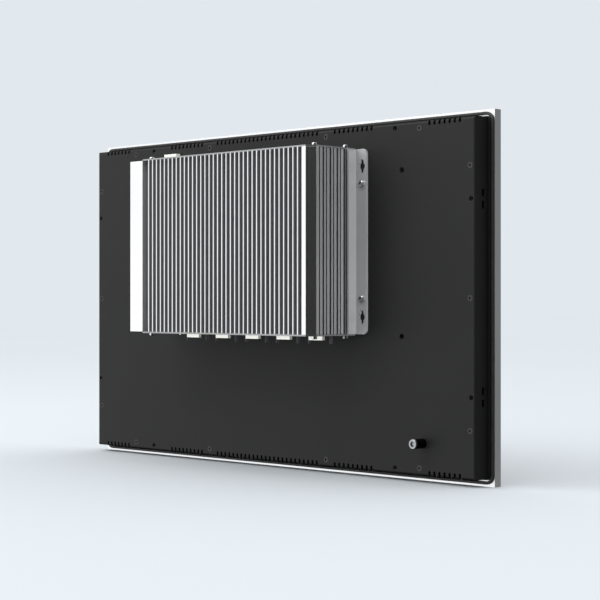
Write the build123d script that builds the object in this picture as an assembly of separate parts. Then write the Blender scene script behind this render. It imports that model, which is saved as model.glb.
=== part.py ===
from build123d import *
import os

# Panel computer for building into a machine panel, seen from behind. A thin front frame with
# a glass front carries a shallow folded rear housing, and a finned fanless computer hangs on
# the housing between two brackets.
# Millimetres, +Z up. The screen looks along -Y and the rear along +Y. The origin is the middle
# of the seat plane: the crown of the seal, where the machine's panel bears.
# Places across are counted from the middle to the right as seen from behind, so they run
# along -X.

# Front frame and its glass
frame_width = 530.0
frame_height = 328.0
frame_depth = 8.4
frame_rim = 3.0
glass_thickness = 3.0
glass_clearance = 0.3
tape_thickness = 0.5
screen_border_side = 26.7
screen_border_top = 29.9
window_clearance = 1.0

# Seal bead on the back of the frame
seal_height = 2.0
seal_bead = 2.7
seal_crown_radius = 0.9
seal_corner_radius = 9.0
seal_margin_side = 0.25
seal_margin_top = 1.85

# Chassis plate that holds the display down and carries the rear housing
chassis_thickness = 1.2
chassis_gap_side = 0.85
chassis_gap_top = 1.25
chassis_corner_radius = 4.0

# Display module
module_frame_side = 9.5
module_frame_top = 12.0
module_depth = 11.0
module_pocket_depth = 3.2
module_clearance = 0.8
module_wall = 1.6
module_tray_sheet = 1.0
cell_thickness = 2.2
module_clamp_length = 30.0
module_clamp_foot = 4.2
module_clamp_lap = 4.0
module_clamp_sheet = 1.0

# Folded rear housing
housing_lip_side = 2.7
housing_lip_top = 0.9
housing_depth = 17.3
housing_sheet = 1.2
housing_bend = 2.5

# Air slots along the top and bottom folds: how many in a group and where its middle is
vent_groups = ((25, 0.0), (9, 114.9), (7, 223.95))
vent_pitch = 5.74
vent_width = 2.5
vent_reach = 4.8
vent_wrap = 5.5

# Housing screws, each on a spacer from the chassis plate
housing_screw_columns = (80.5, 195.0)
housing_screw_rows = (0.0, 114.8)
housing_screw_inset_top = 6.4
housing_screw_inset_side = 6.1
housing_screw_head = 5.8
housing_screw_hole = 3.4
housing_screw_shank = 2.9
housing_screw_socket = 2.4
spacer_diameter = 6.0
spacer_bore = 3.0
screw_length = 8.0

# Holes and slits where panel clamps hook in
clamp_hole = 4.4
clamp_spacing_across = 332.6
clamp_spacing_up = 172.0
clamp_inset_top = 4.6
clamp_inset_side = 5.0
clamp_nut_diameter = 5.8
clamp_nut_length = 3.0
nut_chamfer = 0.8
slit_length = 6.5
slit_width = 3.4
slit_spacing = 10.4
slit_depth_place = 8.0

# Threaded inserts for accessories
insert_hole = 5.2
insert_diameter = 8.0
insert_length = 3.0
insert_across = 174.4
insert_rows = (114.7, -34.5)

# Bonding stud for the earth lead
stud_across = 199.0
stud_up = -128.6
stud_diameter = 8.8
stud_length = 12.0
stud_shank = 6.0
stud_nut = 10.0
stud_nut_height = 3.2
stud_clearance = 0.1
bonding_head = 8.8
bonding_head_height = 2.0
bonding_shank = 4.0
bonding_thread_depth = 8.0
bonding_socket = 4.6
bonding_socket_depth = 1.4

# Finned cover of the computer, one extrusion
box_centre_up = 51.75
cover_length = 169.5
box_gap = 0.3
box_depth = 58.1
rail_edge_across = -134.1
rail_width = 18.9
rail_wall = 4.0
rail_gap = 8.5
fin_count = 36
fin_pitch = 5.91
fin_tip = 1.45
fin_root = 2.1
fin_height = 14.0
land_gap = 4.4
land_width = 5.1
corner_chamfer = 6.8
roof_thickness = 4.0
side_wall = 6.0
rib_width = 2.6
rib_pitch = 9.22
rib_count = 5
rib_first_drop = 0.9
groove_depth = 0.4
slit_line_width = 1.5
slit_line_depth = 2.8
foot_rail_height = 8.5
foot_rail_step = 1.6
rail_block_drop = 6.4
base_thickness = 2.0
rail_cap_thickness = 1.4

# End plates and their screws
plate_thickness = 1.4
plate_screw_bore = 2.5
bore_boss = 5.4
plate_screw_hole = 3.2
plate_screw_head = 5.0
plate_screw_inset = 2.3
plate_screw_head_height = 2.8
plate_screw_shank = 2.4
plate_screw_length = 8.0
cross_length = 2.6
cross_width = 0.9
cross_depth = 1.2

# Brackets
bracket_sheet = 2.0
bracket_flange = 14.2
bracket_web = 13.0
bracket_bend = 2.5
bracket_corner = 4.5
keyhole_spacing = 138.0
keyhole_length = 12.6
keyhole_slot = 4.2
keyhole_eye = 7.2
keyhole_inset = 6.4
bracket_screw_spacing = 105.2
bracket_screw_head = 7.0
bracket_screw_head_height = 2.6
bracket_screw_hole = 4.4
bracket_screw_shank = 3.9
bracket_screw_socket = 3.4
bracket_screw_length = 6.0

# Ports on the bottom end plate, each between two posts, and the socket on the top one
port_count = 5
port_pitch = 41.9
port_first_across = -69.0
post_depth_place = 26.2
port_step = 4.6
port_width = 18.1
port_height = 3.2
port_corner = 0.5
port_sheet = 0.4
port_stand = 4.0
port_body_width = 26.0
port_body_depth = 11.0
port_body_height = 12.4
post_spacing = 27.4
post_across_flats = 3.0
post_length = 7.4
post_bore = 1.6
post_bore_depth = 4.0
post_shank = 2.2
contact_slot = 14.4
contact_slot_height = 1.1
contact_depth = 3.0
contact_drop = 0.5
post_clearance = 2.4
link_across = -105.0
link_width = 17.9
link_height = 9.0
link_stand = 6.2
link_body_width = 14.0
link_recess = 3.5
link_lock_across = -91.0
link_lock_diameter = 5.0
link_lock_length = 3.0
port_clearance = 0.2

# Boards and other inner pieces
board_sheet = 1.6
board_width = 204.0
board_length = 158.0
chip_size = 37.5
chip_height = 2.3
block_size = 64.0
memory_width = 67.6
memory_length = 30.0
memory_height = 5.2
memory_across = 60.0
memory_drop = 42.0
drive_across = 40.0
processor_rise = 10.0
drive_width = 69.9
drive_length = 100.0
drive_height = 7.0
standoff_diameter = 6.0
standoff_inset = 5.0
display_board_width = 120.0
display_board_height = 80.0
display_board_across = -150.0
driver_board_width = 90.0
driver_board_height = 50.0
driver_board_across = 150.0
driver_board_up = 60.0
board_part_height = 2.5
board_standoff = 3.0

# Planes across the depth
frame_back = -seal_height
frame_front = frame_back - frame_depth
glass_seat = frame_front + glass_thickness + tape_thickness
chassis_rear = frame_back + chassis_thickness
housing_rear = frame_back + chassis_thickness + housing_depth
housing_inside = housing_rear - housing_sheet
module_front = frame_back - module_pocket_depth
module_rear = module_front + module_depth
box_base = housing_rear + box_gap
cover_base = box_base + base_thickness
box_rear = box_base + box_depth
fin_floor = box_rear - fin_height
ceiling = fin_floor - roof_thickness
post_plane = box_base + post_depth_place
port_plane = post_plane + port_step
board_rear = post_plane - port_body_height / 2
board_front = board_rear - board_sheet

# Widths and heights that follow from the frame
active_width = frame_width - 2 * screen_border_side
active_height = frame_height - 2 * screen_border_top
module_width = active_width + 2 * module_frame_side
module_height = active_height + 2 * module_frame_top
seal_width = frame_width - 2 * seal_margin_side
seal_tall = frame_height - 2 * seal_margin_top
chassis_width = seal_width - 2 * (seal_bead + chassis_gap_side)
chassis_tall = seal_tall - 2 * (seal_bead + chassis_gap_top)
housing_width = chassis_width - 2 * housing_lip_side
housing_tall = chassis_tall - 2 * housing_lip_top

# The cover's places across, from the plain rail over the fins to the ribbed side
rail_inner_across = rail_edge_across + rail_width
first_fin_across = rail_inner_across + rail_gap + fin_tip / 2
last_fin_across = first_fin_across + (fin_count - 1) * fin_pitch
land_across = last_fin_across + fin_tip / 2 + land_gap
chamfer_across = land_across + land_width
rib_side_across = chamfer_across + corner_chamfer
foot_side_across = rib_side_across + foot_rail_step
cover_top = box_centre_up + cover_length / 2
cover_bottom = box_centre_up - cover_length / 2
plate_top = cover_top + plate_thickness
plate_bottom = cover_bottom - plate_thickness
cavity_left = rail_inner_across + side_wall / 2
cavity_right = rib_side_across - side_wall

# Screw bores in the cover's ends, as (across, depth)
cover_bores = (
    (rail_inner_across + plate_screw_inset, box_rear - rail_block_drop - 4.0),
    (land_across + land_width * 0.75, ceiling + 5.2),
    (rib_side_across - side_wall / 2 - 0.5, cover_base + 7.0),
    (rail_inner_across + side_wall / 2, cover_base + 7.0),
)


def rear(y):
    """Plane seen from behind at depth y: local x runs across to the right, local y up."""
    return Plane(origin=(0, y, 0), x_dir=(-1, 0, 0), z_dir=(0, 1, 0))


def plan(z):
    """Plane at height z: local x runs across, local y towards the rear. It extrudes downwards."""
    return Plane(origin=(0, 0, z), x_dir=(-1, 0, 0), z_dir=(0, 0, -1))


def side(across):
    """Plane at a place across that looks to the right: local x up, local y towards the rear."""
    return Plane(origin=(-across, 0, 0), x_dir=(0, 0, 1), z_dir=(-1, 0, 0))


def slab(width, tall, y_low, y_high, middle=(0, 0), radius=0.0):
    """Flat block across the depth, with rounded corners where radius is given."""
    outline = RectangleRounded(width, tall, radius) if radius else Rectangle(width, tall)
    return extrude(rear(y_low) * Pos(*middle) * outline, y_high - y_low)


def pegs(places, diameter, y_low, y_high):
    """Round bars along the depth at (across, up) places."""
    outline = Sketch() + [Pos(*place) * Circle(diameter / 2) for place in places]
    return extrude(rear(y_low) * outline, y_high - y_low)


def posts(places, diameter, z_low, z_high):
    """Round bars along the height at (across, depth) places."""
    outline = Sketch() + [Pos(*place) * Circle(diameter / 2) for place in places]
    return extrude(plan(z_high) * outline, z_high - z_low)


def block(across, y_range, z_range):
    """Square block between two places across, two depths and two heights."""
    width = across[1] - across[0]
    tall = z_range[1] - z_range[0]
    middle = ((across[0] + across[1]) / 2, (z_range[0] + z_range[1]) / 2)
    return slab(width, tall, y_range[0], y_range[1], middle)


def save(name, shape):
    """One file for each named piece."""
    export_step(shape, f"parts/{name}.step")


def housing_screw_places():
    """Places of the flush screws round the edge of the housing."""
    row = housing_tall / 2 - housing_screw_inset_top
    column = housing_width / 2 - housing_screw_inset_side
    places = [(sx * a, sz * row) for a in housing_screw_columns for sx in (1, -1) for sz in (1, -1)]
    for up in housing_screw_rows:
        ups = (up,) if up == 0 else (up, -up)
        places += [(sx * column, z) for z in ups for sx in (1, -1)]
    return places


def top_clamp_places():
    """Clamp holes along the top and bottom edges."""
    row = housing_tall / 2 - clamp_inset_top
    return [(sx * clamp_spacing_across / 2, sz * row) for sx in (1, -1) for sz in (1, -1)]


def side_clamp_places():
    """Clamp holes along the two side edges."""
    column = housing_width / 2 - clamp_inset_side
    return [(sx * column, sz * clamp_spacing_up / 2) for sx in (1, -1) for sz in (1, -1)]


def insert_places():
    """Accessory inserts, mirrored about the middle."""
    return [(sx * insert_across, up) for up in insert_rows for sx in (1, -1)]


def bracket_middle(sign):
    """Place across of the keyholes and flange screws of one bracket."""
    if sign > 0:
        return foot_side_across + bracket_sheet + keyhole_inset
    return rail_edge_across - bracket_sheet - keyhole_inset


def bracket_screw_places():
    """Flange screws of both brackets."""
    half = bracket_screw_spacing / 2
    return [(bracket_middle(s), box_centre_up + h) for s in (1, -1) for h in (half, -half)]


def front_frame():
    """Machined aluminium frame: glass rebate in front, display pocket behind."""
    body = slab(frame_width, frame_height, frame_front, frame_back)
    rebate = slab(frame_width - 2 * frame_rim, frame_height - 2 * frame_rim,
                  frame_front, glass_seat, radius=2.0)
    window = slab(active_width + 2 * window_clearance, active_height + 2 * window_clearance,
                  glass_seat, frame_back, radius=1.5)
    pocket = slab(module_width + 2 * module_clearance, module_height + 2 * module_clearance,
                  module_front, frame_back, radius=1.0)
    return body - rebate - window - pocket


def front_glass():
    """Glass plate with ground edges, flush with the rim."""
    trim = 2 * (frame_rim + glass_clearance)
    plate = slab(frame_width - trim, frame_height - trim,
                 frame_front, frame_front + glass_thickness, radius=2.0)
    return chamfer(plate.faces().sort_by(Axis.Y)[0].edges(), 0.4)


def glass_tape():
    """Ring of mounting tape between the glass and the frame's ledge."""
    trim = 2 * (frame_rim + 1.0)
    ring = slab(frame_width - trim, frame_height - trim,
                frame_front + glass_thickness, glass_seat, radius=1.0)
    opening = slab(active_width + 4 * window_clearance, active_height + 4 * window_clearance,
                   frame_front + glass_thickness, glass_seat, radius=1.0)
    return ring - opening


def lcd_cell():
    """Glass sandwich of the display, let into the front of its tray."""
    return slab(module_width - 2 * module_wall, module_height - 2 * module_wall,
                module_front, module_front + cell_thickness)


def backlight_tray():
    """Thin metal tray that holds the display's layers."""
    tray = slab(module_width, module_height, module_front, module_rear, radius=0.8)
    recess = slab(module_width - 2 * module_wall, module_height - 2 * module_wall,
                  module_front, module_rear - module_tray_sheet)
    return tray - recess


def light_guide():
    """Clear plate behind the display glass, filling the tray."""
    return slab(module_width - 2 * module_wall, module_height - 2 * module_wall,
                module_front + cell_thickness, module_rear - module_tray_sheet)


def module_clamps():
    """Four stepped sheet clamps that hold the display down on the frame."""
    half = module_height / 2
    sheet = module_clamp_sheet
    gap = 0.3
    outline = [
        (half + gap + sheet + module_clamp_foot, chassis_rear),
        (half + gap, chassis_rear),
        (half + gap, module_rear),
        (half - module_clamp_lap, module_rear),
        (half - module_clamp_lap, module_rear + sheet),
        (half + gap + sheet, module_rear + sheet),
        (half + gap + sheet, chassis_rear + sheet),
        (half + gap + sheet + module_clamp_foot, chassis_rear + sheet),
    ]
    clamps = []
    for across in (-active_width / 4, active_width / 4):
        face = make_face(Polyline(*outline, close=True))
        clamp = extrude(side(across - module_clamp_length / 2) * face, module_clamp_length)
        clamps += [clamp, mirror(clamp, Plane.XY)]
    return Compound(children=clamps)


def chassis_plate():
    """Black sheet behind the frame, cut out for the display."""
    plate = slab(chassis_width, chassis_tall, frame_back, chassis_rear,
                 radius=chassis_corner_radius)
    cut = slab(module_width + 2 * module_clearance, module_height + 2 * module_clearance,
               frame_back, chassis_rear, radius=1.0)
    return plate - cut


def seal_gasket():
    """Moulded bead with a rounded crown that seals against the machine panel."""
    outer = RectangleRounded(seal_width, seal_tall, seal_corner_radius)
    inner = RectangleRounded(seal_width - 2 * seal_bead, seal_tall - 2 * seal_bead,
                             seal_corner_radius - seal_bead)
    ring = extrude(rear(frame_back) * (outer - inner), seal_height)
    return fillet(ring.faces().sort_by(Axis.Y)[-1].edges(), seal_crown_radius)


def folded_tray(width, tall, y_low, y_high, bend):
    """Block whose four rear edges are rounded by the fold."""
    tray = slab(width, tall, y_low, y_high)
    return fillet(tray.faces().sort_by(Axis.Y)[-1].edges(), bend)


def vent_cutters():
    """Air slots that start on the rear face and wrap over the folds."""
    across = []
    for count, middle in vent_groups:
        for side_sign in ((1,) if middle == 0 else (1, -1)):
            first = side_sign * middle - (count - 1) / 2 * vent_pitch
            across += [first + i * vent_pitch for i in range(count)]
    edge = housing_tall / 2
    slot = Rectangle(vent_width, vent_reach) + Pos(0, -vent_reach / 2) * Circle(vent_width / 2)
    rear_places = [Pos(a, edge - vent_reach / 2 + vent_width / 2) * slot for a in across]
    top = extrude(rear(housing_rear - vent_wrap) * (Sketch() + rear_places), vent_wrap)
    keep = slab(housing_width, 2 * (edge - housing_sheet), housing_rear - vent_wrap,
                housing_rear - housing_bend)
    top -= keep
    return top + mirror(top, Plane.XY)


def slit_cutters():
    """Pairs of slits in the walls on both sides of each clamp hole."""
    depth = frame_back + slit_depth_place
    cutters = []
    for across, up in side_clamp_places():
        wall = housing_width / 2 * (1 if across > 0 else -1)
        for step in (slit_spacing / 2, -slit_spacing / 2):
            cutters.append(block((wall - 2 * housing_sheet, wall + 2 * housing_sheet),
                                 (depth - slit_width / 2, depth + slit_width / 2),
                                 (up + step - slit_length / 2, up + step + slit_length / 2)))
    for across, up in top_clamp_places():
        wall = housing_tall / 2 * (1 if up > 0 else -1)
        for step in (slit_spacing / 2, -slit_spacing / 2):
            cutters.append(block((across + step - slit_length / 2, across + step + slit_length / 2),
                                 (depth - slit_width / 2, depth + slit_width / 2),
                                 (wall - 2 * housing_sheet, wall + 2 * housing_sheet)))
    return cutters


def rear_housing():
    """Tray folded from one sheet, with air slots, clamp holes and countersunk screw holes."""
    shell = folded_tray(housing_width, housing_tall, chassis_rear, housing_rear, housing_bend)
    shell -= folded_tray(housing_width - 2 * housing_sheet, housing_tall - 2 * housing_sheet,
                         chassis_rear, housing_inside, housing_bend - housing_sheet)
    shell -= vent_cutters()
    for cutter in slit_cutters():
        shell -= cutter
    shell -= pegs(top_clamp_places() + side_clamp_places(), clamp_hole,
                  housing_inside, housing_rear)
    shell -= pegs(insert_places() + bracket_screw_places(), insert_hole,
                  housing_inside, housing_rear)
    shell -= pegs([(stud_across, stud_up)], stud_shank + 2 * stud_clearance,
                  housing_inside, housing_rear)
    shell -= pegs(housing_screw_places(), housing_screw_hole, housing_inside, housing_rear)
    for place in housing_screw_places():
        shell -= countersink(place, housing_screw_head, housing_screw_hole)
    return shell


def countersink(place, wide, narrow):
    """Cone from the rear face of the housing down to its inside face."""
    mouth = rear(housing_rear) * Pos(*place) * Circle(wide / 2)
    throat = rear(housing_inside) * Pos(*place) * Circle(narrow / 2)
    return loft([throat.face(), mouth.face()])


def housing_spacers():
    """Tapped spacers that stand on the chassis plate under each housing screw."""
    places = housing_screw_places()
    return (pegs(places, spacer_diameter, chassis_rear, housing_inside)
            - pegs(places, spacer_bore, housing_inside - screw_length - 1.0, housing_inside))


def housing_screws():
    """Flush countersunk screws with a socket."""
    ease = 0.1
    screws = []
    for place in housing_screw_places():
        screw = countersink(place, housing_screw_head - 2 * ease, housing_screw_hole - 2 * ease)
        screw += pegs([place], housing_screw_shank, housing_rear - screw_length, housing_inside)
        screw -= pegs([place], housing_screw_socket, housing_rear - 0.9, housing_rear)
        screws.append(screw)
    return Compound(children=screws)


def press_nuts(places, outside, bore, length):
    """Nuts pressed into the inside face of the housing, chamfered where they meet it."""
    nuts = pegs(places, outside, housing_inside - length, housing_inside)
    seats = nuts.faces().filter_by(Axis.Y).group_by(Axis.Y)[-1]
    nuts = chamfer([edge for seat in seats for edge in seat.edges()], nut_chamfer)
    return nuts - pegs(places, bore, housing_inside - length, housing_inside)


def bonding_stud():
    """Black stud that carries the earth screw, with a shank through the housing."""
    place = [(stud_across, stud_up)]
    reach = housing_inside - stud_nut_height - 1.0
    stud = pegs(place, stud_diameter, housing_rear, housing_rear + stud_length)
    stud += pegs(place, stud_shank, reach, housing_rear)
    return stud - pegs(place, bonding_shank + 2 * stud_clearance,
                       housing_rear + stud_length - bonding_thread_depth - 1.0,
                       housing_rear + stud_length)


def bonding_nut():
    """Hexagon nut on the stud's shank inside the housing."""
    place = Pos(stud_across, stud_up)
    outline = RegularPolygon(stud_nut / 2, 6, major_radius=False)
    nut = extrude(rear(housing_inside - stud_nut_height) * place * outline, stud_nut_height)
    return nut - pegs([(stud_across, stud_up)], stud_shank + 2 * stud_clearance,
                      housing_inside - stud_nut_height, housing_inside)


def bonding_screw():
    """Screw with a round head and a hexagon socket in the stud's end."""
    place = [(stud_across, stud_up)]
    seat = housing_rear + stud_length
    head = pegs(place, bonding_head, seat, seat + bonding_head_height)
    head = chamfer(head.faces().sort_by(Axis.Y)[-1].edges(), 0.4)
    head += pegs(place, bonding_shank, seat - bonding_thread_depth, seat)
    socket = RegularPolygon(bonding_socket / 2, 6, major_radius=False)
    floor = seat + bonding_head_height - bonding_socket_depth
    return head - extrude(rear(floor) * Pos(stud_across, stud_up) * socket, bonding_socket_depth)


def cover_outline():
    """Outside of the extrusion without its fins."""
    return Polyline(
        (rail_edge_across, cover_base),
        (rail_edge_across, box_rear),
        (rail_inner_across, box_rear),
        (rail_inner_across, box_rear - rail_block_drop),
        (rail_inner_across + rail_gap - 1.0, box_rear - rail_block_drop),
        (rail_inner_across + rail_gap - 1.0, fin_floor),
        (land_across, fin_floor),
        (land_across, box_rear),
        (chamfer_across, box_rear),
        (rib_side_across, box_rear - corner_chamfer),
        (rib_side_across, cover_base + foot_rail_height),
        (foot_side_across, cover_base + foot_rail_height),
        (foot_side_across, cover_base),
        close=True,
    )


def cavity_outline():
    """Room for the board under the fins and the chamfered corner."""
    return Polyline(
        (cavity_left, cover_base),
        (cavity_left, ceiling),
        (land_across - 2.0, ceiling),
        (cavity_right, ceiling - 4.0),
        (cavity_right, cover_base),
        close=True,
    )


def finned_cover():
    """Extruded heat sink: fins, plain rail, chamfered corner and ribbed side in one section."""
    section = make_face(cover_outline())
    half_tip, half_root = fin_tip / 2, fin_root / 2
    fin = make_face(Polyline((-half_root, fin_floor - 0.5), (-half_tip, box_rear),
                             (half_tip, box_rear), (half_root, fin_floor - 0.5), close=True))
    section += [Pos(first_fin_across + i * fin_pitch, 0) * fin for i in range(fin_count)]
    section -= make_face(cavity_outline())
    section += Pos(*cover_bores[-1]) * Circle(bore_boss / 2)
    chamber_left = rail_edge_across + rail_wall
    chamber_right = rail_inner_across - rail_wall / 2
    chamber_middle = (chamber_left + chamber_right) / 2
    chamber_low, chamber_high = cover_base + rail_wall, box_rear - rail_wall
    section -= (Pos(chamber_middle, (chamber_low + chamber_high) / 2)
                * Rectangle(chamber_right - chamber_left, chamber_high - chamber_low))
    section -= side_grooves()
    section -= [Pos(*place) * Circle(plate_screw_bore / 2) for place in cover_bores]
    return extrude(plan(cover_top) * section, cover_length)


def side_grooves():
    """Shallow grooves between the side ribs, each edged by two deep slit lines."""
    top = box_rear - corner_chamfer - rib_first_drop
    grooves = []
    for i in range(rib_count - 1):
        high = top - i * rib_pitch - rib_width
        low = top - (i + 1) * rib_pitch
        floor = Pos(rib_side_across - groove_depth / 2, (high + low) / 2)
        grooves.append(floor * Rectangle(groove_depth, high - low))
        for middle in (high - slit_line_width / 2, low + slit_line_width / 2):
            line = Pos(rib_side_across - slit_line_depth / 2, middle)
            grooves.append(line * Rectangle(slit_line_depth, slit_line_width))
    return grooves


def rail_caps():
    """Two caps let into the ends of the plain rail's hollow."""
    left = rail_edge_across + rail_wall
    right = rail_inner_across - rail_wall / 2
    depths = (cover_base + rail_wall, box_rear - rail_wall)
    top = block((left, right), depths, (cover_top - rail_cap_thickness, cover_top))
    bottom = block((left, right), depths, (cover_bottom, cover_bottom + rail_cap_thickness))
    return Compound(children=[top, bottom])


def base_plate():
    """Sheet that closes the cover towards the housing."""
    return block((rail_edge_across, foot_side_across), (box_base, cover_base),
                 (cover_bottom, cover_top))


def plate_outline():
    """End plate: it follows the cover's section from the rail to the chamfered corner."""
    return Polyline(
        (rail_inner_across, box_base),
        (rail_inner_across, box_rear),
        (chamfer_across, box_rear),
        (rib_side_across, box_rear - corner_chamfer),
        (rib_side_across, box_base),
        close=True,
    )


def bottom_port_places():
    """Places across of the bottom sockets with jack posts."""
    return [port_first_across + i * port_pitch for i in range(port_count)]


def port_outline(ease=0.0):
    """Flat shell of a port, grown or shrunk all round."""
    return RectangleRounded(port_width + 2 * ease, port_height + 2 * ease, port_corner + ease)


def post_places(across):
    """Places of the two posts beside a port."""
    return [(across + s * post_spacing / 2, post_plane) for s in (1, -1)]


def end_plate(z_low, ports):
    """Plate with holes for its screws and its sockets."""
    z_high = z_low + plate_thickness
    plate = extrude(plan(z_high) * make_face(plate_outline()), plate_thickness)
    plate -= posts(cover_bores, plate_screw_hole, z_low, z_high)
    cutouts = [Pos(a, port_plane) * port_outline(port_clearance) for a in ports]
    cutouts += [Pos(*place) * Circle(post_clearance / 2) for a in ports for place in post_places(a)]
    if not ports:
        cutouts.append(Pos(link_across, post_plane)
                       * Rectangle(link_body_width + 2 * port_clearance,
                                   link_height + 2 * port_clearance))
    return plate - extrude(plan(z_high) * (Sketch() + cutouts), plate_thickness)


def plate_screws():
    """Pan head cross screws that hold the two end plates."""
    screws = []
    for across, depth in cover_bores:
        head = posts([(across, depth)], plate_screw_head, plate_top,
                     plate_top + plate_screw_head_height)
        head = fillet(head.faces().sort_by(Axis.Z)[-1].edges(), 0.9)
        screw = head + posts([(across, depth)], plate_screw_shank,
                             plate_top - plate_screw_length, plate_top)
        for long_side, short_side in ((cross_length, cross_width), (cross_width, cross_length)):
            slot = plan(plate_top + plate_screw_head_height) * Pos(across, depth)
            screw -= extrude(slot * Rectangle(long_side, short_side), cross_depth)
        screws += [screw, mirror(screw, Plane.XY.offset(box_centre_up))]
    return Compound(children=screws)


def port_shell(across):
    """Thin metal shell that stands out of the bottom end plate."""
    place = plan(plate_bottom + plate_thickness) * Pos(across, port_plane)
    reach = plate_thickness + port_stand
    return extrude(place * port_outline(), reach) - extrude(place * port_outline(-port_sheet), reach)


def port_insert(across):
    """Slotted tongue inside a shell, on the body that sits on the board."""
    inside = plate_bottom + plate_thickness
    reach = plate_thickness + port_stand - contact_drop
    core = extrude(plan(inside) * Pos(across, port_plane) * port_outline(-port_sheet), reach)
    half = port_body_width / 2
    body = block((across - half, across + half),
                 (post_plane - port_body_height / 2, post_plane + port_body_height / 2),
                 (inside, inside + port_body_depth))
    slot = Pos(across, port_plane) * Rectangle(contact_slot, contact_slot_height)
    face = inside - reach
    return core + body - extrude(plan(face + contact_depth) * slot, contact_depth)


def jack_posts():
    """Hexagon posts beside each port, tapped for the plug's screws."""
    result = []
    hexagon = RegularPolygon(post_across_flats / 2, 6, major_radius=False)
    tip = plate_bottom - post_length
    for across in bottom_port_places():
        for place in post_places(across):
            post = extrude(plan(plate_bottom) * Pos(*place) * hexagon, post_length)
            post = chamfer(post.faces().sort_by(Axis.Z)[0].edges(), 0.3)
            post += posts([place], post_shank, plate_bottom, plate_bottom + plate_thickness)
            result.append(post - posts([place], post_bore, tip, tip + post_bore_depth))
    return Compound(children=result)


def link_socket():
    """Socket on the top end plate with a wide opening for its plug."""
    depths = (post_plane - link_height / 2, post_plane + link_height / 2)
    inside = plate_top - plate_thickness
    socket = block((link_across - link_width / 2, link_across + link_width / 2), depths,
                   (plate_top, plate_top + link_stand))
    half = link_body_width / 2
    socket += block((link_across - half, link_across + half), depths, (inside, plate_top))
    socket += block((link_across - half, link_across + half), depths,
                    (inside - port_body_depth, inside))
    return socket - block((link_across - half, link_across + half),
                          (depths[0] + 1.2, depths[1] - 1.2),
                          (plate_top + link_stand - link_recess, plate_top + link_stand))


def link_lock():
    """Round lock beside the top socket."""
    return posts([(link_lock_across, post_plane)], link_lock_diameter,
                 plate_top, plate_top + link_lock_length)


def bracket(sign):
    """Angle bracket: a flange on the housing with two keyholes and a web on the cover's side."""
    foot = foot_side_across if sign > 0 else rail_edge_across
    wall_out = foot + sign * bracket_sheet
    edge = wall_out + sign * (bracket_flange - bracket_sheet)
    low, high = housing_rear, housing_rear + bracket_web
    outline = [(foot, low), (foot, high), (wall_out, high), (wall_out, low + bracket_sheet),
               (edge, low + bracket_sheet), (edge, low)]
    angle = extrude(plan(cover_top) * make_face(Polyline(*outline, close=True)), cover_length)
    outer_bend = angle.edges().filter_by(Axis.Z).sort_by_distance((-foot, low, box_centre_up))[0]
    angle = fillet(outer_bend, bracket_bend)
    inner_bend = angle.edges().filter_by(Axis.Z).sort_by_distance(
        (-wall_out, low + bracket_sheet, box_centre_up))[0]
    angle = fillet(inner_bend, bracket_bend - bracket_sheet + 0.3)
    tips = [e for e in angle.edges().filter_by(Axis.Y)
            if abs(abs(e.center().X) - abs(edge)) < 0.01]
    angle = fillet(tips, bracket_corner)
    middle = bracket_middle(sign)
    for step in (keyhole_spacing / 2, -keyhole_spacing / 2):
        place = Pos(middle, box_centre_up + step)
        hole = Circle(keyhole_eye / 2) + Rot(0, 0, 90) * SlotOverall(keyhole_length, keyhole_slot)
        angle -= extrude(rear(low) * place * hole, bracket_sheet)
    flange_holes = [place for place in bracket_screw_places() if place[0] * sign > 0]
    angle -= pegs(flange_holes, bracket_screw_hole, low, low + bracket_sheet)
    return angle


def pan_screw(plane, length):
    """Pan head screw with a socket, its head on the given plane and its shank below."""
    head = extrude(plane * Circle(bracket_screw_head / 2), bracket_screw_head_height)
    head = fillet(head.edges().sort_by_distance(plane.offset(bracket_screw_head_height).origin)
                  .filter_by(GeomType.CIRCLE)[0], 1.1)
    top = plane.offset(bracket_screw_head_height - 1.4)
    socket = RegularPolygon(bracket_screw_socket / 2, 6, major_radius=False)
    shank = extrude(plane.offset(-length) * Circle(bracket_screw_shank / 2), length)
    return head + shank - extrude(top * socket, 1.4)


def flange_screws():
    """Screws through the bracket flanges into the housing's inserts."""
    seat = housing_rear + bracket_sheet
    planes = [rear(seat).shift_origin((-place[0], seat, place[1]))
              for place in bracket_screw_places()]
    return Compound(children=[pan_screw(plane, bracket_screw_length) for plane in planes])


def mainboard():
    """Computer board on its standoffs, with rows of small parts."""
    middle = (0.0, box_centre_up)
    board = slab(board_width, board_length, board_front, board_rear, middle)
    return board - pegs(standoff_places(), 3.2, board_front, board_rear)


def standoff_places():
    """Corners of the board."""
    half_w, half_l = board_width / 2 - standoff_inset, board_length / 2 - 2.5 * standoff_inset
    return [(sx * half_w, box_centre_up + sz * half_l) for sx in (1, -1) for sz in (1, -1)]


def board_standoffs():
    """Standoffs from the base plate with a screw end through the board."""
    return (pegs(standoff_places(), standoff_diameter, cover_base, board_front)
            + pegs(standoff_places(), 3.0, board_front, board_rear + 1.0))


def heat_block(place):
    """Aluminium block from the processor to the cover's ceiling."""
    return slab(block_size, block_size, board_rear + chip_height, ceiling, place, radius=2.0)


def display_boards():
    """Places and sizes of the two boards behind the display."""
    return (((display_board_across, 0.0), display_board_width, display_board_height),
            ((driver_board_across, driver_board_up), driver_board_width, driver_board_height))


def small_board(place, width, tall):
    """Board on the back of the display with a connector and a row of chips."""
    low = module_rear + board_standoff
    board = slab(width, tall, low, low + board_sheet, place)
    top = low + board_sheet
    board += slab(width * 0.3, 6.0, top, top + board_part_height,
                  (place[0], place[1] + tall / 2 - 6.0))
    board += slab(12.0, 12.0, top, top + 1.4, (place[0] - width / 5, place[1]))
    board += slab(9.0, 9.0, top, top + 1.4, (place[0] + width / 5, place[1]))
    return board


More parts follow.
